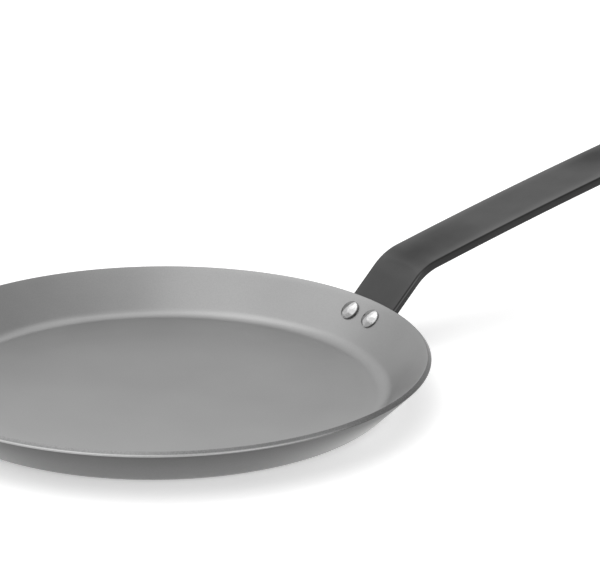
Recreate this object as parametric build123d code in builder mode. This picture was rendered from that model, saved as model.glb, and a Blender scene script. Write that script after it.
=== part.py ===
from build123d import *
import math
import os

# Crepe pan: a shallow pressed-steel pan, a flat bar handle and the two rivets that join them.
# Millimetres and degrees. +Z is up and +X runs along the handle. The origin is the centre of the
# pan's underside, where it stands.

# Pan body, one pressed sheet
sheet_thickness = 2.5
rim_radius = 120.0          # to the outer edge of the rim, before it is rounded
rim_height = 19.0           # of that edge above the underside
wall_angle = 45.0           # of the wall's slope, from the level
floor_bend_radius = 10.0    # inside the sheet, where the floor turns into the wall
rim_edge_radius = 0.4       # both edges of the rim, which is cut square to the sheet

# Handle, one flat bar
bar_width = 30.0
bar_thickness = 4.0
bar_edge_radius = 1.0       # all round both faces
foot_below_rim = 18.0       # down the wall's slope from the rim to the bar's lower end
foot_corner_radius = 7.0
straight_above_rim = 16.5   # up the same slope from the rim to the bend
bend_radius = 23.5          # on the bar's underside
grip_angle = 13.3           # of the grip where it leaves the bend, from the level
grip_arch_radius = 2900.0   # the grip flattens slowly towards its end
grip_length = 172.0         # from the bend to the end, along the bar's upper face
end_corner_radius = 10.0
hanging_hole_diameter = 12.0
hanging_hole_from_end = 15.0
hanging_hole_edge_radius = 0.5

# Rivets, set square to the wall
rivet_from_side = 7.5       # from the bar's side to the rivet's middle
rivet_below_rim = 8.8       # down the wall's slope
rivet_shank_diameter = 5.0  # it fills its holes, as a set rivet does
rivet_head_diameter = 9.3
rivet_head_height = 2.1     # above the wall, with the head's steep edge
rivet_head_edge_height = 0.9
rivet_head_edge_radius = 0.25
rivet_tail_diameter = 8.4
rivet_tail_height = 2.3
rivet_tail_edge_height = 0.5

# Every cutting shape runs past the metal by this much
overrun = 5.0

slope_run = math.cos(math.radians(wall_angle))
slope_rise = math.sin(math.radians(wall_angle))
handle_side = (0, 1, 0)
up_wall = (slope_run, 0, slope_rise)
into_pan = (-slope_rise, 0, slope_run)


def on_outer_wall(up_slope, inward=0.0):
    """Level and upright place of a point on the wall's outside, measured along its slope from the rim."""
    level = rim_radius + up_slope * slope_run - inward * slope_rise
    upright = rim_height + up_slope * slope_rise + inward * slope_run
    return level, upright


# The wall's outside, extended down, meets the level of the underside here
base_corner = rim_radius - rim_height / math.tan(math.radians(wall_angle))

# The bar lies square across the round wall, so its middle would stand proud of its edges by this
# much: that depth is hollowed out of its upper face, and the bar seats on the wall all across
foot_radius = on_outer_wall(-foot_below_rim)[0]
seat_depth = (bar_width / 2) ** 2 * slope_rise / (2 * foot_radius)

rivet_level, rivet_upright = on_outer_wall(-rivet_below_rim)
rivet_plane = Plane(origin=(rivet_level, 0, rivet_upright), x_dir=handle_side, z_dir=into_pan)
rivet_offset = bar_width / 2 - rivet_from_side
rivet_places = {"rivet_left": rivet_offset, "rivet_right": -rivet_offset}
shank_radius = rivet_shank_diameter / 2


with BuildPart() as pan_body:
    with BuildSketch(Plane.XZ):
        with BuildLine():
            FilletPolyline(
                (0, 0),
                (base_corner, 0),
                (rim_radius, rim_height),
                radius=floor_bend_radius + sheet_thickness,
            )
            offset(amount=sheet_thickness, side=Side.LEFT)
        make_face()
    revolve(axis=Axis.Z)
    rim_edges = pan_body.edges().filter_by(GeomType.CIRCLE).sort_by(SortBy.RADIUS)[-2:]
    fillet(rim_edges, radius=rim_edge_radius)
    with BuildSketch(rivet_plane):
        with Locations(*[(place, 0) for place in rivet_places.values()]):
            Circle(shank_radius)
    extrude(amount=sheet_thickness + overrun, both=True, mode=Mode.SUBTRACT)


with BuildPart() as handle:
    with BuildSketch(Plane.XZ):
        with BuildLine():
            along_wall = PolarLine(
                on_outer_wall(-foot_below_rim, seat_depth),
                foot_below_rim + straight_above_rim,
                wall_angle,
            )
            bend = JernArc(
                along_wall @ 1,
                along_wall % 1,
                bend_radius + bar_thickness,
                grip_angle - wall_angle,
            )
            grip = JernArc(
                bend @ 1,
                bend % 1,
                grip_arch_radius,
                -math.degrees(grip_length / grip_arch_radius),
            )
            offset(amount=bar_thickness, side=Side.RIGHT)
        make_face()
    extrude(amount=bar_width / 2, both=True)

    # Corners of the bar's two ends, then both faces' outlines
    short_edges = handle.edges().group_by(SortBy.LENGTH)[0]
    fillet(short_edges.sort_by(Axis.X)[:2], radius=foot_corner_radius)
    short_edges = handle.edges().group_by(SortBy.LENGTH)[0]
    fillet(short_edges.sort_by(Axis.X)[-2:], radius=end_corner_radius)
    bend_lines = handle.edges().filter_by(Axis.Y).group_by(SortBy.LENGTH)[-1]
    corner_lines = handle.edges().group_by(SortBy.LENGTH)[0]
    fillet(handle.edges() - bend_lines - corner_lines, radius=bar_edge_radius)

    # Seat on the wall, which fades out in the bend
    with BuildSketch(Plane.XZ):
        with BuildLine():
            seat_low = on_outer_wall(-foot_below_rim - overrun)
            seat_high = on_outer_wall(straight_above_rim + bend_radius)
            Polyline((0, seat_low[1]), seat_low, seat_high, (0, seat_high[1]), close=True)
        make_face()
    revolve(axis=Axis.Z, mode=Mode.SUBTRACT)

    with BuildSketch(rivet_plane):
        with Locations(*[(place, 0) for place in rivet_places.values()]):
            Circle(shank_radius)
    extrude(amount=bar_thickness + overrun, both=True, mode=Mode.SUBTRACT)

    hole_spot = grip @ (1 - hanging_hole_from_end / grip_length)
    grip_run = grip % (1 - hanging_hole_from_end / grip_length)
    hole_plane = Plane(
        origin=(hole_spot.X, 0, hole_spot.Y),
        x_dir=handle_side,
        z_dir=(-grip_run.Y, 0, grip_run.X),
    )
    with BuildSketch(hole_plane):
        Circle(hanging_hole_diameter / 2)
    extrude(amount=bar_thickness + overrun, both=True, mode=Mode.SUBTRACT)
    fillet(handle.edges(Select.LAST).filter_by(GeomType.LINE, reverse=True), hanging_hole_edge_radius)


head_radius = rivet_head_diameter / 2
head_top = sheet_thickness + rivet_head_height
head_edge = sheet_thickness + rivet_head_edge_height
head_underside = sheet_thickness / 2        # trimmed to the round wall below
tail_radius = rivet_tail_diameter / 2
tail_seat = seat_depth - bar_thickness      # the bar's flat underside
tail_edge = tail_seat - rivet_tail_edge_height
tail_top = tail_seat - rivet_tail_height
rivets = {}

for node, place in rivet_places.items():
    rivet_centre = (rivet_level, place, rivet_upright)
    with BuildPart() as rivet:
        with BuildSketch(Plane(origin=rivet_centre, x_dir=handle_side, z_dir=up_wall)) as half_rivet:
            with BuildLine():
                TangentArc((0, head_top), (head_radius, head_edge), tangent=(1, 0))
                Polyline(
                    (head_radius, head_edge),
                    (head_radius, head_underside),
                    (shank_radius, head_underside),
                    (shank_radius, tail_seat),
                    (tail_radius, tail_seat),
                    (tail_radius, tail_edge),
                )
                TangentArc((0, tail_top), (tail_radius, tail_edge), tangent=(1, 0))
                Line((0, tail_top), (0, head_top))
            make_face()
            head_corner = half_rivet.vertices().sort_by_distance((head_radius, head_edge))[0]
            fillet(head_corner, radius=rivet_head_edge_radius)
        revolve(axis=Axis(rivet_centre, into_pan))
        add(pan_body.part, mode=Mode.SUBTRACT)
    rivets[node] = rivet.part


os.makedirs("parts", exist_ok=True)
pieces = {"pan_body": pan_body.part, "handle": handle.part, **rivets}
for node, piece in pieces.items():
    piece.label = node
    export_step(piece, f"parts/{node}.step")

hole_middle = hole_plane.origin - hole_plane.z_dir * (bar_thickness / 2)
print("hanging hole: middle", hole_middle, "axis", hole_plane.z_dir)
print("handle ends", handle.part.bounding_box().max, "foot", handle.part.bounding_box().min)
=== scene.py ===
import math
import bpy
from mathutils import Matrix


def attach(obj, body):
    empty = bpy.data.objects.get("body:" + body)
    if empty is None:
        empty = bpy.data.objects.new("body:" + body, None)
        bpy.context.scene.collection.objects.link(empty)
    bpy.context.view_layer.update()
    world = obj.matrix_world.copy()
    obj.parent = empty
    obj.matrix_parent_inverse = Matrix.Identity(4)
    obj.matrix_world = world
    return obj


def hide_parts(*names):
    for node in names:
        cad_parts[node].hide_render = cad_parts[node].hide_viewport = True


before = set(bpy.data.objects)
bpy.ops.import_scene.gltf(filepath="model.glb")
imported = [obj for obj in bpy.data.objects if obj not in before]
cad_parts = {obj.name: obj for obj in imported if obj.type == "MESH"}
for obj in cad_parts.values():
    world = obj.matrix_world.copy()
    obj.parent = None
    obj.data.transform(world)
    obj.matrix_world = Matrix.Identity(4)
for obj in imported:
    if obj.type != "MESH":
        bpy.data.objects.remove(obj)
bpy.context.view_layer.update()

from types import SimpleNamespace

import bmesh
import bpy
from mathutils import Matrix, Vector

# Crepe pan. Metres; +Z is up, +X runs along the handle, and the origin is the centre of the underside.
# Bearings turn left from +X, as seen from above.
mm = 0.001
degree = math.pi / 180
quarter_turn = 90 * degree

# Pan body, one pressed sheet
sheet_thickness = 2.5 * mm
rim_radius = 120.0 * mm
rim_height = 19.0 * mm
wall_angle = 45.0 * degree
floor_bend_radius = 10.0 * mm
rim_edge_radius = 0.4 * mm

# Handle, one flat bar
bar_width = 30.0 * mm
bar_thickness = 4.0 * mm
bar_edge_radius = 1.0 * mm
foot_below_rim = 18.0 * mm
foot_corner_radius = 7.0 * mm
straight_above_rim = 16.5 * mm
bend_radius = 23.5 * mm
grip_angle = 13.3 * degree
grip_arch_radius = 2900.0 * mm
grip_length = 172.0 * mm
end_corner_radius = 10.0 * mm
hanging_hole_radius = 6.0 * mm
hanging_hole_from_end = 15.0 * mm
hanging_hole_edge_radius = 0.5 * mm

# Rivets, set square to the wall
rivet_from_side = 7.5 * mm
rivet_below_rim = 8.8 * mm
shank_radius = 2.5 * mm
head_radius = 4.65 * mm
head_height = 2.1 * mm
head_edge_height = 0.9 * mm
head_edge_radius = 0.25 * mm
head_bedding = 0.12 * mm            # the flat rim of the head dips this deep into the round wall
tail_radius = 4.2 * mm
tail_height = 2.3 * mm
tail_edge_height = 0.5 * mm

# How finely the shapes are cut
pan_sides = 320
rivet_sides = 72
hole_sides = 64
floor_rings = 24
wall_rings = 8
rim_rings = 2
bend_steps = 14
corner_steps = 28
dome_steps = 16
edge_steps = 5
foot_slices = 23
bend_slices = 30
grip_slices = 40
slices_across = 14
weld_distance = 0.001 * mm
sharp_angle = 50 * degree

# Worked out from the sizes above
slope_run = math.cos(wall_angle)
slope_rise = math.sin(wall_angle)
into_pan = Vector((-slope_rise, 0, slope_run))
up_wall = Vector((slope_run, 0, slope_rise))
outer_rim = Vector((rim_radius, 0, rim_height))
base_corner = rim_radius - rim_height / math.tan(wall_angle)
bend_from_middle = base_corner - (floor_bend_radius + sheet_thickness) * math.tan(wall_angle / 2)
foot_radius = rim_radius - foot_below_rim * slope_run
seat_depth = (bar_width / 2) ** 2 * slope_rise / (2 * foot_radius)
bend_from = foot_below_rim + straight_above_rim
bend_to = bend_from + (bend_radius + bar_thickness) * (wall_angle - grip_angle)
bar_length = bend_to + grip_length
flat_half = bar_width / 2 - bar_edge_radius
rivet_point = outer_rim - up_wall * rivet_below_rim
rivet_turn = Matrix.Rotation(-wall_angle, 4, "Y")
rivet_offset = bar_width / 2 - rivet_from_side
rivet_places = {"rivet_left": rivet_offset, "rivet_right": -rivet_offset}

# Where the marks on the finishes lie
painted_light_bearing = 215 * degree       # the painted highlight on the rim's outer edge is brightest here, and the floor's painted light is strongest here
sheared_shade_bearing = -45 * degree      # the painted shade on the rim's sheared face is darkest here
wall_light_bearing = -75 * degree   # the painted light on the wall's inside is strongest here
photo_right_bearing = -34.4 * degree    # of the photograph's right: the handle points further back
crease = 135 * mm                   # of the bar's bend, from the pan's middle
dark_reflection_turn = 20 * degree        # of each head's painted dark reflection, turned from the left towards the rim
edge_highlight_turn = -25 * degree        # of the painted highlight on each head's edge: below 0 is away from the rim
dark_patches = (                    # middle and radius of each dull patch of the coating
    ((142 * mm, 0 * mm, 38 * mm), 14 * mm),
    ((160 * mm, 0 * mm, 42 * mm), 19 * mm),
    ((258 * mm, 6 * mm, 62 * mm), 20 * mm),
)

# The camera stands as the photograph's did, and the lamps are placed as seen from it
camera_heading = photo_right_bearing    # turned left from +Y, as the photograph's right is from +X
camera_distance = 1538.4 * mm           # from the middle of the rim
camera_elevation = 20.066 * degree
camera_pitch = 19.044 * degree
camera_yaw = 2.46 * degree
camera_roll = 0.175 * degree
camera_lens = 210.0                     # the lens and the sensor are in millimetres, as Blender has them
camera_sensor = 36.0
softbox_distance = 6.0
floor_radius = 60.0
floor_sides = 96

X_AXIS, Y_AXIS, Z_AXIS = Vector((1, 0, 0)), Vector((0, 1, 0)), Vector((0, 0, 1))
WHITE = (1, 1, 1, 1)


# Drawing and cutting

def draw_line(bm, pen, place, pieces=1):
    """Draws a straight line from the pen's vertex to a place, in equal pieces, and returns its end."""
    start = pen.co.copy()
    for piece in range(1, pieces + 1):
        pen = bmesh.ops.extrude_vert_indiv(bm, verts=[pen])["verts"][0]
        pen.co = start.lerp(Vector(place), piece / pieces)
    return pen


def draw_arc(bm, pen, centre, turn, axis, steps):
    """Draws an arc from the pen's vertex, round an axis through the centre, and returns its end."""
    drawn = bmesh.ops.spin(bm, geom=[pen], cent=centre, axis=axis, angle=turn, steps=steps)
    return [part for part in drawn["geom_last"] if isinstance(part, bmesh.types.BMVert)][0]


def lathe(bm, sides):
    """Spins the drawn profile once round Z and closes its seam and its poles."""
    profile = bm.verts[:] + bm.edges[:]
    bmesh.ops.spin(
        bm, geom=profile, cent=(0, 0, 0), axis=Z_AXIS, angle=2 * math.pi, steps=sides, use_merge=True,
    )
    bmesh.ops.remove_doubles(bm, verts=bm.verts[:], dist=weld_distance)
    bmesh.ops.recalc_face_normals(bm, faces=bm.faces[:])


def make_piece(name, bm, finish=None):
    """Turns a finished bmesh into an object with smooth faces and one material."""
    for face in bm.faces:
        face.smooth = True
    mesh = bpy.data.meshes.new(name)
    bm.to_mesh(mesh)
    bm.free()
    if finish:
        mesh.materials.append(finish)
    piece = bpy.data.objects.new(name, mesh)
    bpy.context.scene.collection.objects.link(piece)
    return piece


def cut_away(piece, cutters):
    """Cuts the cutters' shapes out of a piece for good, and marks its sharp edges."""
    for cutter in cutters:
        cut = piece.modifiers.new("cut", "BOOLEAN")
        cut.operation, cut.solver, cut.object = "DIFFERENCE", "EXACT", cutter
    depsgraph = bpy.context.evaluated_depsgraph_get()
    mesh = bpy.data.meshes.new_from_object(piece.evaluated_get(depsgraph))
    piece.modifiers.clear()
    piece.data = mesh
    bm = bmesh.new()
    bm.from_mesh(mesh)
    bmesh.ops.remove_doubles(bm, verts=bm.verts[:], dist=weld_distance)
    for edge in bm.edges:
        edge.smooth = edge.calc_face_angle(0) < sharp_angle
    bm.to_mesh(mesh)
    bm.free()


# Pan body

def pan_body_mesh():
    """The sheet's section, drawn from the underside's middle round the rim to the floor's middle, spun."""
    bend_centre = Vector((bend_from_middle, 0, floor_bend_radius + sheet_thickness))
    wall_foot = bend_centre - into_pan * floor_bend_radius
    inner_rim = outer_rim + into_pan * sheet_thickness
    down, across = -up_wall * rim_edge_radius, into_pan * rim_edge_radius

    bm = bmesh.new()
    pen = bm.verts.new((0, 0, 0))
    pen = draw_line(bm, pen, (bend_from_middle, 0, 0), floor_rings)
    pen = draw_arc(bm, pen, bend_centre, wall_angle, -Y_AXIS, bend_steps)
    pen = draw_line(bm, pen, outer_rim + down, wall_rings)
    pen = draw_arc(bm, pen, outer_rim + down + across, quarter_turn, -Y_AXIS, edge_steps)
    pen = draw_line(bm, pen, inner_rim - across, rim_rings)
    pen = draw_arc(bm, pen, inner_rim - across + down, quarter_turn, -Y_AXIS, edge_steps)
    pen = draw_line(bm, pen, wall_foot, wall_rings)
    pen = draw_arc(bm, pen, bend_centre, -wall_angle, -Y_AXIS, bend_steps)
    draw_line(bm, pen, (0, 0, sheet_thickness), floor_rings)
    lathe(bm, pan_sides)
    return bm


def rivet_hole_cutter(place):
    """A plain round bar through sheet and handle, as wide as the rivet's shank."""
    bm = bmesh.new()
    turn = Matrix.Translation(rivet_point + Y_AXIS * place) @ rivet_turn
    bmesh.ops.create_cone(
        bm, cap_ends=True, segments=hole_sides, radius1=shank_radius, radius2=shank_radius,
        depth=4 * bar_thickness, matrix=turn,
    )
    return make_piece("rivet_hole_cutter", bm)


# Handle

def bar_upward(slope):
    """The direction square to the bar's upper face, where the bar has this slope."""
    return Vector((-math.sin(slope), 0, math.cos(slope)))


def bar_station(distance):
    """The point and the slope of the bar's upper face, at a distance along it from the foot."""
    start = outer_rim - up_wall * foot_below_rim + into_pan * seat_depth
    point = start + up_wall * min(distance, bend_from)
    slope = wall_angle
    arcs = ((bend_from, bend_to, bend_radius + bar_thickness), (bend_to, bar_length, grip_arch_radius))
    for arc_from, arc_to, radius in arcs:
        centre = point - bar_upward(slope) * radius
        slope -= (min(max(distance, arc_from), arc_to) - arc_from) / radius
        point = centre + bar_upward(slope) * radius
    return point, slope


def draw_bar_outline(bm):
    """The outline of the bar's upper face before it is bent, drawn all round from the foot."""
    length, half = bar_length, bar_width / 2
    foot, end = foot_corner_radius, end_corner_radius
    pen = bm.verts.new((foot, -half, 0))
    pen = draw_line(bm, pen, (length - end, -half, 0))
    pen = draw_arc(bm, pen, (length - end, end - half, 0), quarter_turn, Z_AXIS, corner_steps)
    pen = draw_line(bm, pen, (length, half - end, 0))
    pen = draw_arc(bm, pen, (length - end, half - end, 0), quarter_turn, Z_AXIS, corner_steps)
    pen = draw_line(bm, pen, (foot, half, 0))
    pen = draw_arc(bm, pen, (foot, half - foot, 0), quarter_turn, Z_AXIS, corner_steps)
    pen = draw_line(bm, pen, (0, foot - half, 0))
    draw_arc(bm, pen, (foot, foot - half, 0), quarter_turn, Z_AXIS, corner_steps)
    bmesh.ops.remove_doubles(bm, verts=bm.verts[:], dist=weld_distance)


def bar_blank():
    """The bar before it is bent: a flat plate with round corners, and both its outlines rounded."""
    bm = bmesh.new()
    draw_bar_outline(bm)
    outline = bmesh.ops.contextual_create(bm, geom=bm.edges[:])["faces"]
    lower = bmesh.ops.extrude_face_region(bm, geom=outline, use_keep_orig=True)["geom"]
    lower = [part for part in lower if isinstance(part, bmesh.types.BMVert)]
    bmesh.ops.translate(bm, verts=lower, vec=(0, 0, -bar_thickness))
    bmesh.ops.recalc_face_normals(bm, faces=bm.faces[:])
    closed = [edge for edge in bm.edges if len(edge.link_faces) == 2]
    rounded = [edge for edge in closed if edge.calc_face_angle() > sharp_angle]
    bmesh.ops.bevel(
        bm, geom=rounded, offset=bar_edge_radius, offset_type="OFFSET", affect="EDGES",
        segments=edge_steps, profile=0.5, material=-1,
    )
    slice_blank(bm)
    return bm


def slice_blank(bm):
    """Slices the plate across and along, so that it can bend and be hollowed."""
    bend_length = bend_to - bend_from
    half_slices = slices_across // 2
    cuts = [(X_AXIS, bend_from * step / foot_slices) for step in range(1, foot_slices + 1)]
    cuts += [(X_AXIS, bend_from + bend_length * step / bend_slices) for step in range(1, bend_slices + 1)]
    cuts += [(X_AXIS, bend_to + grip_length * step / grip_slices) for step in range(1, grip_slices)]
    cuts += [(Y_AXIS, bar_width * step / slices_across) for step in range(1 - half_slices, half_slices)]
    for normal, distance in cuts:
        bmesh.ops.bisect_plane(
            bm, geom=bm.verts[:] + bm.edges[:] + bm.faces[:], dist=weld_distance,
            plane_co=normal * distance, plane_no=normal,
        )


def handle_mesh():
    """Bends the flat plate along the handle's line, then hollows its foot to the round wall."""
    bm = bar_blank()
    for corner in bm.verts:
        distance, aside, above = corner.co
        point, slope = bar_station(distance)
        corner.co = point + bar_upward(slope) * above
        corner.co.y = aside
        wall_radius = rim_radius + (corner.co.z - rim_height) / math.tan(wall_angle)
        inside = (wall_radius - math.hypot(corner.co.x, corner.co.y)) * slope_rise
        if inside > 0:
            corner.co -= into_pan * inside
    return bm


def hanging_hole_cutter():
    """A round bar that flares at both faces of the grip, so that the hole's edges come out rounded."""
    edge, radius = hanging_hole_edge_radius, hanging_hole_radius
    bm = bmesh.new()
    pen = bm.verts.new((0, 0, bar_thickness))
    pen = draw_line(bm, pen, (radius + edge, 0, bar_thickness))
    pen = draw_line(bm, pen, (radius + edge, 0, 0))
    pen = draw_arc(bm, pen, (radius + edge, 0, -edge), -quarter_turn, Y_AXIS, edge_steps)
    pen = draw_line(bm, pen, (radius, 0, edge - bar_thickness))
    pen = draw_arc(bm, pen, (radius + edge, 0, edge - bar_thickness), -quarter_turn, Y_AXIS, edge_steps)
    pen = draw_line(bm, pen, (radius + edge, 0, -2 * bar_thickness))
    draw_line(bm, pen, (0, 0, -2 * bar_thickness))
    lathe(bm, hole_sides)
    point, slope = bar_station(bar_length - hanging_hole_from_end)
    bm.transform(Matrix.Translation(point) @ Matrix.Rotation(-slope, 4, "Y"))
    return make_piece("hanging_hole_cutter", bm)


# Rivets

def rivet_mesh(place):
    """One rivet: low dome with a steep edge, shank, and the tail formed against the bar."""
    dome_height = head_height - head_edge_height
    dome_radius = (head_radius ** 2 + dome_height ** 2) / (2 * dome_height)
    head_top = sheet_thickness + head_height
    tilt = math.asin((head_radius - head_edge_radius) / (dome_radius - head_edge_radius))
    edge_centre = Vector((head_radius - head_edge_radius, 0, 0))
    edge_centre.z = head_top - dome_radius + (dome_radius - head_edge_radius) * math.cos(tilt)
    tail_seat = seat_depth - bar_thickness
    tail_dome = tail_height - tail_edge_height
    tail_dome_radius = (tail_radius ** 2 + tail_dome ** 2) / (2 * tail_dome)
    tail_tilt = math.asin(tail_radius / tail_dome_radius)

    bm = bmesh.new()
    pen = bm.verts.new((0, 0, head_top))
    pen = draw_arc(bm, pen, (0, 0, head_top - dome_radius), tilt, Y_AXIS, dome_steps)
    pen = draw_arc(bm, pen, edge_centre, quarter_turn - tilt, Y_AXIS, edge_steps)
    pen = draw_line(bm, pen, (head_radius, 0, sheet_thickness - head_bedding))
    pen = draw_line(bm, pen, (shank_radius, 0, sheet_thickness - head_bedding))
    pen = draw_line(bm, pen, (shank_radius, 0, tail_seat))
    pen = draw_line(bm, pen, (tail_radius, 0, tail_seat))
    pen = draw_line(bm, pen, (tail_radius, 0, tail_seat - tail_edge_height))
    draw_arc(bm, pen, (0, 0, tail_dome_radius - tail_height + tail_seat), tail_tilt, Y_AXIS, dome_steps)
    lathe(bm, rivet_sides)
    bm.transform(Matrix.Translation(rivet_point + Y_AXIS * place) @ rivet_turn)
    return bm


# Shader nodes

def join_or_set(tree, socket, value):
    """Joins a socket to another one, or gives it a plain value."""
    if isinstance(value, bpy.types.NodeSocket):
        tree.links.new(value, socket)
    else:
        socket.default_value = value


def add_node(tree, kind, operation=None, **inputs):
    """Adds a node, with values or links for its inputs by name."""
    node = tree.nodes.new(kind)
    if operation:
        node.operation = operation
    for name, value in inputs.items():
        join_or_set(tree, node.inputs[name.replace("_", " ")], value)
    return node


def arithmetic(tree, operation, first, second=0.0):
    """One step of arithmetic on sockets or numbers."""
    node = add_node(tree, "ShaderNodeMath", operation)
    join_or_set(tree, node.inputs[0], first)
    join_or_set(tree, node.inputs[1], second)
    return node.outputs[0]


def added(tree, first, *others):
    """The sum of sockets or numbers."""
    for other in others:
        first = arithmetic(tree, "ADD", first, other)
    return first


def times(tree, first, *others):
    """The product of sockets or numbers."""
    for other in others:
        first = arithmetic(tree, "MULTIPLY", first, other)
    return first


def away_from(tree, value, middle):
    """How far a value is from a middle one, on either side."""
    return arithmetic(tree, "ABSOLUTE", arithmetic(tree, "SUBTRACT", value, middle))


def along(tree, places, direction):
    """How far each place lies along a direction."""
    node = add_node(tree, "ShaderNodeVectorMath", "DOT_PRODUCT", Vector=places)
    node.inputs[1].default_value = direction
    return node.outputs["Value"]


def distance_from(tree, places, place):
    """How far each place is from one place."""
    node = add_node(tree, "ShaderNodeVectorMath", "DISTANCE", Vector=places)
    node.inputs[1].default_value = place
    return node.outputs["Value"]


def length_of(tree, first, second):
    """The length of a step with these two parts, square to each other."""
    step = add_node(tree, "ShaderNodeCombineXYZ", X=first, Y=second)
    return add_node(tree, "ShaderNodeVectorMath", "LENGTH", Vector=step.outputs[0]).outputs["Value"]


def noise(tree, places, scale, detail):
    """A smooth random pattern, with scale in features per metre."""
    node = add_node(tree, "ShaderNodeTexNoise", Vector=places, Scale=scale, Detail=detail, Roughness=0.5)
    return node.outputs["Fac"]


def spread(tree, value, low, high, start=0.3, end=0.7):
    """Runs from low to high as the value runs from start to end, by default a pattern's middle range."""
    node = add_node(
        tree, "ShaderNodeMapRange", Value=value, From_Min=start, From_Max=end, To_Min=low, To_Max=high,
    )
    return node.outputs["Result"]


def new_finish(name):
    """A material, its node tree, and the places on the object that its patterns go by."""
    finish = bpy.data.materials.new(name)
    finish.use_nodes = True
    tree = finish.node_tree
    return finish, tree, tree.nodes.new("ShaderNodeTexCoord").outputs["Object"]


def join_shader(tree, tone, darkest, roughness, pattern, strength, depth):
    """Gives the shader a grey, never below the darkest, a roughness, and a surface raised by a pattern."""
    shader = tree.nodes["Principled BSDF"]
    tone = arithmetic(tree, "MAXIMUM", tone, darkest)
    grey = add_node(tree, "ShaderNodeCombineColor", Red=tone, Green=tone, Blue=tone)
    raised = add_node(tree, "ShaderNodeBump", Height=pattern, Strength=strength, Distance=depth)
    tree.links.new(grey.outputs[0], shader.inputs["Base Color"])
    tree.links.new(roughness, shader.inputs["Roughness"])
    tree.links.new(raised.outputs["Normal"], shader.inputs["Normal"])
    return shader


# Steel. Each mark is a tone that is added to the base grey. Apart from the sheared face's coarse grain,
# the marks are painted light and shade.

def level_direction(bearing):
    """The level direction with this bearing."""
    return Vector((math.cos(bearing), math.sin(bearing), 0))


def steel_spot(tree, places):
    """What the marks go by. Its depths are below the rim's sheared face and below the wall's outside."""
    apart = add_node(tree, "ShaderNodeSeparateXYZ", Vector=places)
    height = apart.outputs["Z"]
    reach = length_of(tree, apart.outputs["X"], apart.outputs["Y"])
    up_slope = added(tree, times(tree, reach, slope_run), times(tree, height, slope_rise))
    outward = arithmetic(tree, "SUBTRACT", times(tree, reach, slope_rise), times(tree, height, slope_run))
    return SimpleNamespace(
        places=places,
        height=height,
        reach=reach,
        below_rim=arithmetic(tree, "SUBTRACT", outer_rim.dot(up_wall), up_slope),
        below_outside=arithmetic(tree, "SUBTRACT", -outer_rim.dot(into_pan), outward),
    )


def on_face(tree, depth):
    """1 on a face of the sheet, fading to 0 just under it."""
    skin_full, skin_end = 0.1 * mm, 0.3 * mm
    return spread(tree, depth, 1.0, 0.0, skin_full, skin_end)


def sheared_face_tone(tree, spot, grain):
    """The rim's face, sheared square to the sheet: coarse and dark, with painted shade making it darkest
    on one side.
    """
    darkest = -0.145
    side_start, side_full = 0.74 * rim_radius, 0.99 * rim_radius
    coarse = spread(tree, grain, low=-0.07, high=-0.03)
    towards = along(tree, spot.places, level_direction(sheared_shade_bearing))
    side_shade = spread(tree, towards, 0.0, darkest, side_start, side_full)
    return times(tree, on_face(tree, spot.below_rim), added(tree, coarse, side_shade))


def rim_edge_highlight_tone(tree, spot):
    """Painted highlight along the rim's outer edge, brightest on one side."""
    brightest = 0.31
    edge_start, edge_full = rim_radius - 0.65 * mm, rim_radius - 0.45 * mm
    side_start, side_full = 0.45 * rim_radius, rim_radius
    edge = spread(tree, spot.reach, 0.0, brightest, edge_start, edge_full)
    towards = along(tree, spot.places, level_direction(painted_light_bearing))
    return times(tree, edge, spread(tree, towards, 0.0, 1.0, side_start, side_full))


def outer_wall_tone(tree, spot):
    """The wall's outside: painted shade darkening it towards the rim, and painted reflection making it
    paler low down at the two sides the camera sees.
    """
    low_shade, rim_shade = -0.05, -0.185
    low_reflection, high_reflection = 0.28, -0.03
    low, near_rim, paling_top = 4 * mm, 17.5 * mm, 15 * mm
    ends_start, ends_full = 28 * mm, 88 * mm
    shade_to_rim = spread(tree, spot.height, low_shade, rim_shade, low, near_rim)
    sideways = along(tree, spot.places, level_direction(photo_right_bearing))
    ends = spread(tree, away_from(tree, sideways, 0.0), 0.0, 1.0, ends_start, ends_full)
    paler = times(tree, ends, ends, spread(tree, spot.height, low_reflection, high_reflection, low, paling_top))
    return times(tree, on_face(tree, spot.below_outside), added(tree, shade_to_rim, paler))


def inner_wall_tone(tree, spot):
    """The wall's inside, paler on one side: painted light."""
    palest = 0.055
    low, high = 5 * mm, 8 * mm
    side_start, side_full = 85 * mm, 105 * mm
    below_inside = arithmetic(tree, "SUBTRACT", sheet_thickness, spot.below_outside)
    paler = spread(tree, spot.height, 0.0, palest, low, high)
    towards = along(tree, spot.places, level_direction(wall_light_bearing))
    side = spread(tree, towards, 0.0, 1.0, side_start, side_full)
    return times(tree, on_face(tree, below_inside), paler, side)


def ring_highlight_tone(tree, spot):
    """The ring where the press turned the floor up into the wall, a little paler: a painted highlight."""
    palest = 0.025
    ring_start, ring_full = bend_from_middle - 20 * mm, bend_from_middle - 3 * mm
    fade_start, fade_end = bend_from_middle + 3 * mm, bend_from_middle + 7 * mm
    rise = spread(tree, spot.reach, 0.0, palest, ring_start, ring_full)
    return times(tree, rise, spread(tree, spot.reach, 1.0, 0.0, fade_start, fade_end))


def floor_tone(tree, spot, flat_floor):
    """The flat floor, paler towards one side: painted light."""
    darkest, palest = -0.014, 0.054
    side_start, side_full = -5 * mm, 85 * mm
    towards = along(tree, spot.places, level_direction(painted_light_bearing))
    return times(tree, flat_floor, spread(tree, towards, darkest, palest, side_start, side_full))


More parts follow.
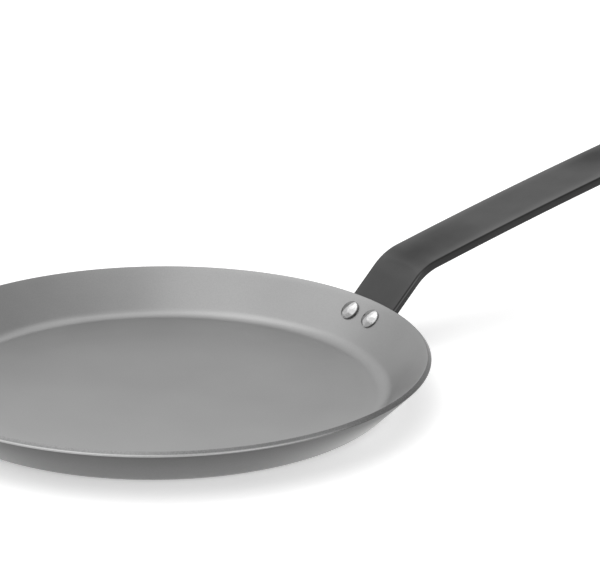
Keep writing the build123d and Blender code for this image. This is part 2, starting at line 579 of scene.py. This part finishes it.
def pan_steel():
    """Matt grey steel, faintly clouded and finely blasted, a little rougher on the flat floor."""
    extra_roughness = 0.08
    fade_start, fade_end = bend_from_middle - 6 * mm, bend_from_middle + 4 * mm
    finish, tree, places = new_finish("pan_steel")
    clouds = noise(tree, places, scale=28.0, detail=4.0)
    grain = noise(tree, places, scale=1600.0, detail=2.0)
    spot = steel_spot(tree, places)
    flat_floor = spread(tree, spot.reach, 1.0, 0.0, fade_start, fade_end)
    tone = added(
        tree,
        spread(tree, clouds, low=0.300, high=0.326),
        spread(tree, grain, low=-0.01, high=0.01),
        # painted light and shade on the rim, walls, ring and floor, besides the sheared face's coarse
        # grain
        sheared_face_tone(tree, spot, grain),
        rim_edge_highlight_tone(tree, spot),
        outer_wall_tone(tree, spot),
        inner_wall_tone(tree, spot),
        ring_highlight_tone(tree, spot),
        floor_tone(tree, spot, flat_floor),
    )
    clouded = spread(tree, clouds, low=0.32, high=0.36)
    roughness = added(tree, clouded, times(tree, flat_floor, extra_roughness))
    shader = join_shader(
        tree, tone, darkest=0.11, roughness=roughness, pattern=grain, strength=0.15, depth=0.01 * mm,
    )
    shader.inputs["Metallic"].default_value = 1.0
    return finish


# Coating of the handle. Its marks are tones too, most of them painted light and shade.

def narrow_side_tone(tree, aside):
    """The bar's narrow sides, darker: painted shade."""
    darkest = -0.030
    side_start, side_full = flat_half + 0.2 * mm, flat_half + 0.6 * mm
    return spread(tree, aside, 0.0, darkest, side_start, side_full)


def lengthwise_tone(tree, lengthwise):
    """Painted light below the bend, with a painted highlight across its crease, and darker towards the far
    end.
    """
    steep_light, band_highlight, far_darkening = 0.013, 0.014, -0.007
    steep_end, grip_start = crease - 3 * mm, crease + 3 * mm
    band_core, band_end = 1 * mm, 5.5 * mm
    far_start, far_full = 215 * mm, 240 * mm
    steep = spread(tree, lengthwise, steep_light, 0.0, steep_end, grip_start)
    band = spread(tree, away_from(tree, lengthwise, crease), band_highlight, 0.0, band_core, band_end)
    return added(tree, steep, band, spread(tree, lengthwise, 0.0, far_darkening, far_start, far_full))


def bar_edge_highlight_tone(tree, aside, lengthwise):
    """A painted highlight along the upper and lower faces' long edges, weaker below the bend."""
    palest, steep_share = 0.053, 0.2
    glint_width, fade_width = 6.5 * mm, 0.2 * mm
    grip_start, grip_full = 140 * mm, 160 * mm
    near_edge = spread(tree, aside, 0.0, 1.0, flat_half - glint_width, flat_half)
    edge_glint = spread(tree, aside, palest, 0.0, flat_half, flat_half + fade_width)
    on_grip = spread(tree, lengthwise, steep_share, 1.0, grip_start, grip_full)
    return times(tree, near_edge, near_edge, edge_glint, on_grip)


def steep_line_tone(tree, places, aside, lengthwise):
    """A fine painted highlight along both sides of the bar's steep part, just under its upper face."""
    palest = 0.07
    line_depth, line_core, line_end = 0.95 * mm, 0.1 * mm, 0.5 * mm
    side_start, side_full = flat_half + 0.7 * mm, flat_half + 0.9 * mm
    fade_start, fade_end = crease - 3 * mm, crease + 2 * mm
    line_level = outer_rim.dot(into_pan) + seat_depth - line_depth
    off_line = away_from(tree, along(tree, places, into_pan), line_level)
    line = spread(tree, off_line, palest, 0.0, line_core, line_end)
    on_side = spread(tree, aside, 0.0, 1.0, side_start, side_full)
    return times(tree, line, on_side, spread(tree, lengthwise, 1.0, 0.0, fade_start, fade_end))


def handle_coating():
    """Near-black satin coating that follows the slight waves of the bar, with a few matt dark patches."""
    patch_darkening, patch_extra_roughness, patch_core_share = -0.012, 0.16, 0.2
    grain_share = 0.03
    finish, tree, places = new_finish("handle_coating")
    clouds = noise(tree, places, scale=45.0, detail=3.0)
    grain = noise(tree, places, scale=2200.0, detail=2.0)
    swell = noise(tree, places, scale=38.0, detail=1.0)
    apart = add_node(tree, "ShaderNodeSeparateXYZ", Vector=places)
    lengthwise = apart.outputs["X"]
    aside = away_from(tree, apart.outputs["Y"], 0.0)
    tone = added(
        tree,
        spread(tree, clouds, low=0.028, high=0.036),
        spread(tree, grain, low=-0.002, high=0.002),
        # painted shade on the narrow sides, and painted light and highlights along the bar
        narrow_side_tone(tree, aside),
        lengthwise_tone(tree, lengthwise),
        bar_edge_highlight_tone(tree, aside, lengthwise),
        steep_line_tone(tree, places, aside, lengthwise),
    )
    roughness = spread(tree, clouds, low=0.40, high=0.34)
    for middle, radius in dark_patches:
        off_middle = distance_from(tree, places, middle)
        patch = spread(tree, off_middle, 1.0, 0.0, patch_core_share * radius, radius)
        tone = added(tree, tone, times(tree, patch, patch_darkening))
        roughness = added(tree, roughness, times(tree, patch, patch_extra_roughness))
    waves = added(tree, swell, times(tree, grain, grain_share))
    shader = join_shader(
        tree, tone, darkest=0.001, roughness=roughness, pattern=waves, strength=0.6, depth=0.4 * mm,
    )
    shader.inputs["Specular IOR Level"].default_value = 0.35
    return finish


# Metal of the rivets

def head_spot(tree, places):
    """How far each place lies to the left of its own rivet's axis, and how far up the wall from it."""
    apart = add_node(tree, "ShaderNodeSeparateXYZ", Vector=places)
    leftward = arithmetic(tree, "FLOORED_MODULO", apart.outputs["Y"], 2 * rivet_offset)
    leftward = arithmetic(tree, "SUBTRACT", leftward, rivet_offset)
    upward = arithmetic(tree, "SUBTRACT", along(tree, places, up_wall), rivet_point.dot(up_wall))
    return leftward, upward


def towards_side(tree, leftward, upward, turn):
    """How far each place lies towards the side of the head that is turned this far from the left."""
    return added(tree, times(tree, leftward, math.cos(turn)), times(tree, upward, math.sin(turn)))


def dark_reflection_tone(tree, leftward, upward):
    """A painted dark reflection on one side of each head."""
    darkest = -0.34
    side_start, side_full = 0.9 * mm, 1.6 * mm
    sideward = towards_side(tree, leftward, upward, dark_reflection_turn)
    return spread(tree, sideward, 0.0, darkest, side_start, side_full)


def head_edge_tone(tree, leftward, upward):
    """The steep edge of each head, with a painted highlight on one side and painted shade on the other."""
    dark, lit, half_way = -0.28, 0.37, 2.5 * mm
    edge_start, edge_full = head_radius - 0.35 * mm, head_radius - 0.15 * mm
    edge = spread(tree, length_of(tree, leftward, upward), 0.0, 1.0, edge_start, edge_full)
    sideward = towards_side(tree, leftward, upward, edge_highlight_turn)
    return times(tree, edge, spread(tree, sideward, dark, lit, -half_way, half_way))


def rivet_metal():
    """Bright solid metal with the small ripples that setting leaves."""
    finish, tree, places = new_finish("rivet_metal")
    ripples = noise(tree, places, scale=420.0, detail=2.0)
    grain = noise(tree, places, scale=3000.0, detail=2.0)
    leftward, upward = head_spot(tree, places)
    tone = added(
        tree,
        spread(tree, ripples, low=0.50, high=0.60),
        spread(tree, grain, low=-0.03, high=0.03),
        # painted dark reflection on one side of each head, and painted highlight and shade on its edge
        dark_reflection_tone(tree, leftward, upward),
        head_edge_tone(tree, leftward, upward),
    )
    roughness = spread(tree, ripples, low=0.12, high=0.22)
    shader = join_shader(
        tree, tone, darkest=0.02, roughness=roughness, pattern=ripples, strength=0.7, depth=0.4 * mm,
    )
    shader.inputs["Metallic"].default_value = 1.0
    return finish


# Floor, light and camera

def floor_white():
    """White that keeps the pan's shadow, for the camera and in reflections, and plain pale otherwise."""
    pale, shadow_share, glow_strength = 0.85, 0.92, 0.36
    finish = bpy.data.materials.new("floor_white")
    finish.use_nodes = True
    tree = finish.node_tree
    tree.nodes.clear()
    plain = add_node(tree, "ShaderNodeBsdfDiffuse", Color=(pale, pale, pale, 1))
    shaded = add_node(tree, "ShaderNodeBsdfDiffuse", Color=(shadow_share, shadow_share, shadow_share, 1))
    glow = add_node(tree, "ShaderNodeEmission", Color=WHITE, Strength=glow_strength)
    shown = tree.nodes.new("ShaderNodeAddShader")
    join_or_set(tree, shown.inputs[0], shaded.outputs[0])
    join_or_set(tree, shown.inputs[1], glow.outputs[0])
    rays = tree.nodes.new("ShaderNodeLightPath").outputs
    seen = added(tree, rays["Is Camera Ray"], rays["Is Glossy Ray"], rays["Is Transmission Ray"])
    either = tree.nodes.new("ShaderNodeMixShader")
    join_or_set(tree, either.inputs[0], arithmetic(tree, "MINIMUM", seen, 1.0))
    join_or_set(tree, either.inputs[1], plain.outputs[0])
    join_or_set(tree, either.inputs[2], shown.outputs[0])
    add_node(tree, "ShaderNodeOutputMaterial", Surface=either.outputs[0])
    return finish


def make_floor():
    """A plain round floor under the pan."""
    bm = bmesh.new()
    bmesh.ops.create_circle(bm, cap_ends=True, segments=floor_sides, radius=floor_radius)
    floor = make_piece("floor", bm, floor_white())


def make_world(strength):
    """Plain even light from all round."""
    world = bpy.data.worlds.new("studio")
    world.use_nodes = True
    background = world.node_tree.nodes["Background"]
    background.inputs["Color"].default_value = WHITE
    background.inputs["Strength"].default_value = strength
    bpy.context.scene.world = world


def make_softbox(name, direction, elevation, width, height, radiance):
    """A large lamp that faces the pan, with its direction and elevation in degrees.

    As the camera sees it, direction 0 is behind the pan, and 90 is on the right.
    """
    lamp = bpy.data.lights.new(name, "AREA")
    lamp.shape, lamp.size, lamp.size_y = "RECTANGLE", width, height
    lamp.energy = radiance * math.pi * width * height
    holder = bpy.data.objects.new(name, lamp)
    bpy.context.scene.collection.objects.link(holder)
    heading = camera_heading - direction * degree
    level = Vector((-math.sin(heading), math.cos(heading), 0)) * math.cos(elevation * degree)
    away = level + Z_AXIS * math.sin(elevation * degree)
    holder.location = away * softbox_distance
    holder.rotation_euler = away.to_track_quat("Z", "Y").to_euler()
    holder.visible_camera = False


def make_lights():
    """Soft studio light, mostly from the left and the back, with low fill for the steel and the handle."""
    make_world(strength=0.60)
    make_softbox("softbox_left", direction=-100, elevation=62, width=8.0, height=6.0, radiance=0.65)
    make_softbox("softbox_back", direction=-20, elevation=60, width=7.0, height=5.0, radiance=0.47)
    make_softbox("softbox_top", direction=0, elevation=88, width=6.0, height=6.0, radiance=0.28)
    make_softbox("softbox_low", direction=15, elevation=20, width=9.0, height=3.5, radiance=0.35)
    make_softbox("softbox_low_left", direction=-50, elevation=25, width=6.0, height=4.0, radiance=0.25)
    make_softbox("softbox_low_right", direction=135, elevation=22, width=5.0, height=4.0, radiance=1.25)


def make_camera():
    """The photograph's viewpoint."""
    turn = Matrix.Rotation(camera_heading, 4, "Z")
    back = turn @ Vector((0, -math.cos(camera_elevation), math.sin(camera_elevation)))
    camera = bpy.data.cameras.new("camera")
    camera.lens, camera.sensor_width = camera_lens, camera_sensor
    holder = bpy.data.objects.new("camera", camera)
    bpy.context.scene.collection.objects.link(holder)
    aim = Matrix.Rotation(camera_heading - camera_yaw, 4, "Z")
    aim @= Matrix.Rotation(quarter_turn - camera_pitch, 4, "X") @ Matrix.Rotation(camera_roll, 4, "Z")
    holder.matrix_world = Matrix.Translation(back * camera_distance + Z_AXIS * rim_height) @ aim
    bpy.context.scene.camera = holder


def build_pan():
    """All four pieces, in place of the plain nodes that they stand for."""
    steel, coating, bright = pan_steel(), handle_coating(), rivet_metal()
    body = make_piece("pan_body_shell", pan_body_mesh(), steel)
    handle = make_piece("handle_bar", handle_mesh(), coating)
    rivets = {}
    for node, place in rivet_places.items():
        rivets[node] = make_piece(node + "_set", rivet_mesh(place), bright)
    holes = [rivet_hole_cutter(place) for place in rivet_places.values()]
    hanging_hole = hanging_hole_cutter()
    cut_away(body, holes)
    cut_away(handle, holes + [hanging_hole])
    for cutter in holes + [hanging_hole]:
        bpy.data.objects.remove(cutter)

    for piece, node, slot in (
        (body, "pan_body", "pan_steel"),
        (handle, "handle", "handle_coating"),
        (rivets["rivet_left"], "rivet_left", "rivet_metal"),
        (rivets["rivet_right"], "rivet_right", "rivet_metal"),
    ):
        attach(piece, "root")
        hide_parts(node)


build_pan()
make_floor()
make_lights()
make_camera()
bpy.context.scene.view_settings.view_transform = "Standard"
